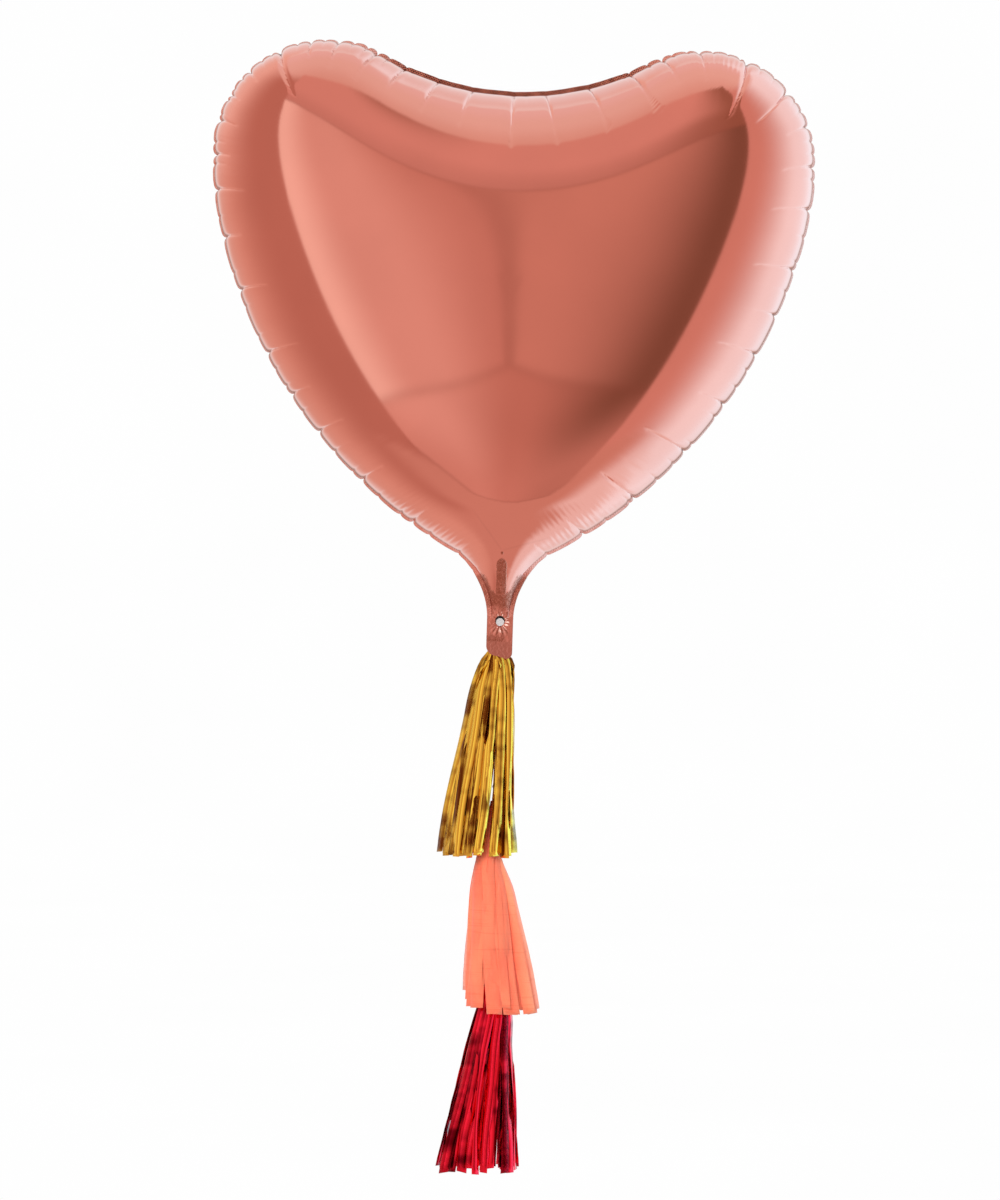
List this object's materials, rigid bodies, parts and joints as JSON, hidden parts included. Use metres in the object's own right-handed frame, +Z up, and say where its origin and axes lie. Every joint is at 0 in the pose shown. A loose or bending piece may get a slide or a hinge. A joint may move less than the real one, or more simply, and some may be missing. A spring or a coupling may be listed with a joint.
{
  "type": "heart foil balloon",
  "caption": "Heart-shaped metallised foil balloon in rose gold, with a valve tail and a hanging string of gold, coral and red fringe tassels.",
  "frame": {"origin": "centre of the filling hole in the tail, on the plane where the two foil plies meet", "axes": "+Z up, +X to the right of someone who looks at the front, the front of the balloon faces -Y and the filling hole opens towards -Y"},
  "size_m": [0.7405, 0.3, 1.3865],
  "materials": {
    "rose_foil": "mirror-bright metallised film, rose gold",
    "valve_film": "thin heat-sealed film",
    "clear_tape": "adhesive tape",
    "white_thread": "twisted polyester thread",
    "gold_foil": "mirror-bright metallised film, gold",
    "coral_tissue": "matte tissue paper, coral",
    "red_foil": "mirror-bright metallised film, red"
  },
  "bodies": {
    "balloon": {"front_panel": "rose_foil", "rear_panel": "rose_foil", "valve_front_film": "valve_film", "valve_rear_film": "valve_film", "anchor_thread": "white_thread", "left_tape": "clear_tape", "right_tape": "clear_tape"},
    "gold_link": {"gold_link": "white_thread"},
    "gold_tassel": {"gold_head": "gold_foil", "gold_band": "gold_foil", "gold_fringe": "gold_foil", "gold_thread": "white_thread"},
    "coral_link": {"coral_link": "white_thread"},
    "coral_tassel": {"coral_head": "coral_tissue", "coral_band": "coral_tissue", "coral_fringe": "coral_tissue", "coral_thread": "white_thread"},
    "red_link": {"red_link": "white_thread"},
    "red_tassel": {"red_head": "red_foil", "red_band": "red_foil", "red_fringe": "red_foil"}
  },
  "joints": [
    {"name": "gold_side_swing", "type": "hinge", "parent": "balloon", "child": "gold_link", "pos_m": [-0.006, 0.00682, -0.008], "axis": [0, 1, 0], "range_deg": [-60, 60]},
    {"name": "gold_front_swing", "type": "hinge", "parent": "gold_link", "child": "gold_tassel", "pos_m": [-0.006, 0.00682, -0.0123], "axis": [1, 0, 0], "range_deg": [-3, 60]},
    {"name": "coral_side_swing", "type": "hinge", "parent": "gold_tassel", "child": "coral_link", "pos_m": [-0.006, 0.00682, -0.2], "axis": [0, 1, 0], "range_deg": [-3, 7]},
    {"name": "coral_front_swing", "type": "hinge", "parent": "coral_link", "child": "coral_tassel", "pos_m": [-0.006, 0.00682, -0.2043], "axis": [1, 0, 0], "range_deg": [-4, 4]},
    {"name": "red_side_swing", "type": "hinge", "parent": "coral_tassel", "child": "red_link", "pos_m": [-0.006, 0.00682, -0.392], "axis": [0, 1, 0], "range_deg": [-7, 7]},
    {"name": "red_front_swing", "type": "hinge", "parent": "red_link", "child": "red_tassel", "pos_m": [-0.006, 0.00682, -0.3963], "axis": [1, 0, 0], "range_deg": [-5, 5]}
  ]
}
